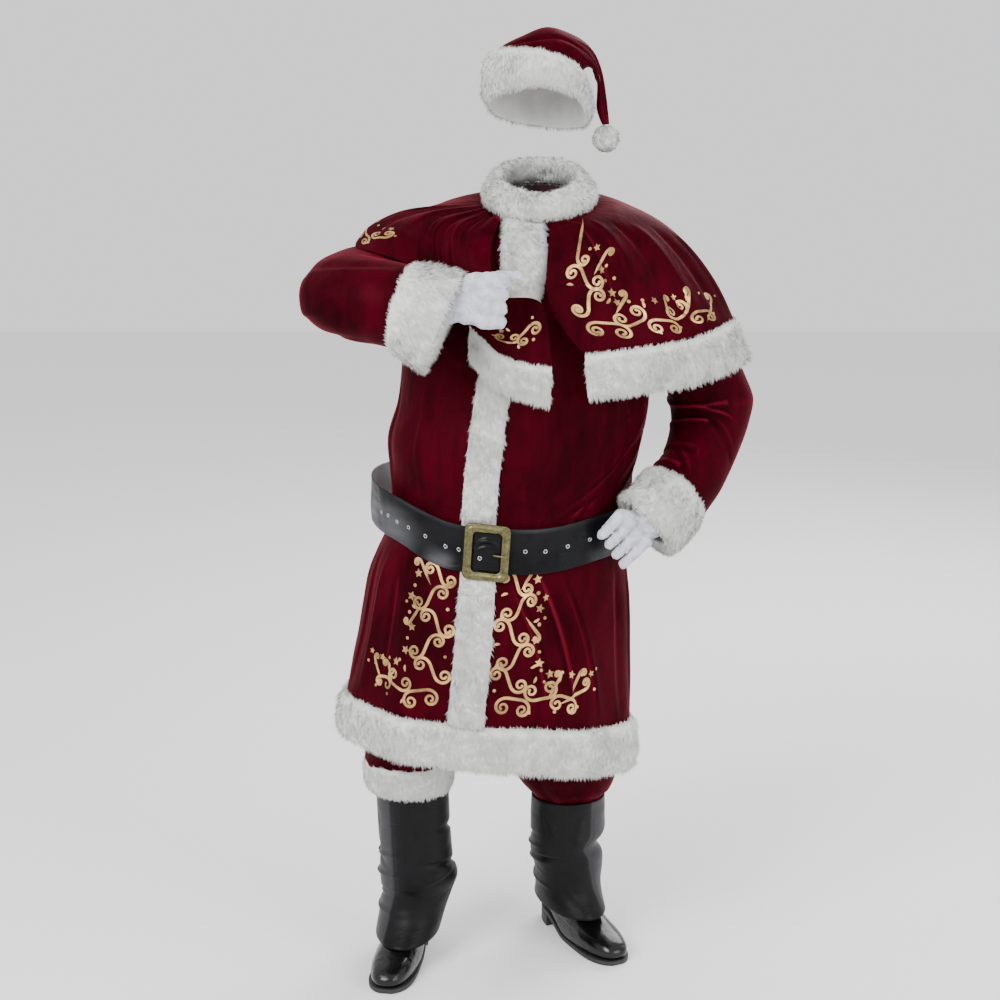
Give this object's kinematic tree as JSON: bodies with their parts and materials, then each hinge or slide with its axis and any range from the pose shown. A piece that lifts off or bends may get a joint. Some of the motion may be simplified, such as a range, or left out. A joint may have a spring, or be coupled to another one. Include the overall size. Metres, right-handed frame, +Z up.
{
  "type": "santa suit",
  "caption": "Worn santa suit kept in its pose: fur-trimmed hat, capelet, long velvet coat, wide belt, trousers, gloves and boots, hollow throughout.",
  "frame": {"origin": "middle of the neck opening, where the wearer's neck holds the suit", "axes": "+Z up, -Y to the wearer's front, +X to the wearer's left"},
  "size_m": [0.8694, 0.6264, 1.9106],
  "materials": {
    "velvet": "crushed burgundy velvet",
    "fur": "short white pile",
    "glove": "thin white knit",
    "leather": "black, half gloss",
    "sole": "black, dull",
    "brass": "antiqued, dull"
  },
  "bodies": {
    "root": {"belt_strap": "leather", "boot_top_left": "leather", "boot_top_right": "leather", "buckle_frame": "brass", "cape_back": "velvet", "cape_back_fur": "fur", "cape_front_left": "velvet", "cape_front_left_fur": "fur", "cape_front_right": "velvet", "cape_front_right_fur": "fur", "coat_back": "velvet", "coat_front_left": "velvet", "coat_front_right": "velvet", "coat_hem_fur": "fur", "coat_placket_belted": "fur", "coat_placket_lower": "fur", "coat_placket_upper": "fur", "collar_fur": "fur", "cuff_fur_left": "fur", "cuff_fur_right": "fur", "glove_left": "glove", "glove_right": "glove", "hat_bag": "velvet", "hat_brim_fur": "fur", "hat_pompom": "fur", "shoe_heel_left": "sole", "shoe_heel_right": "sole", "shoe_sole_left": "sole", "shoe_sole_right": "sole", "shoe_upper_left": "leather", "shoe_upper_right": "leather", "sleeve_left": "velvet", "sleeve_right": "velvet", "trouser_back_left": "velvet", "trouser_back_right": "velvet", "trouser_cuff_fur_right": "fur", "trouser_front_left": "velvet", "trouser_front_right": "velvet", "trouser_waistband": "velvet"}
  },
  "joints": []
}
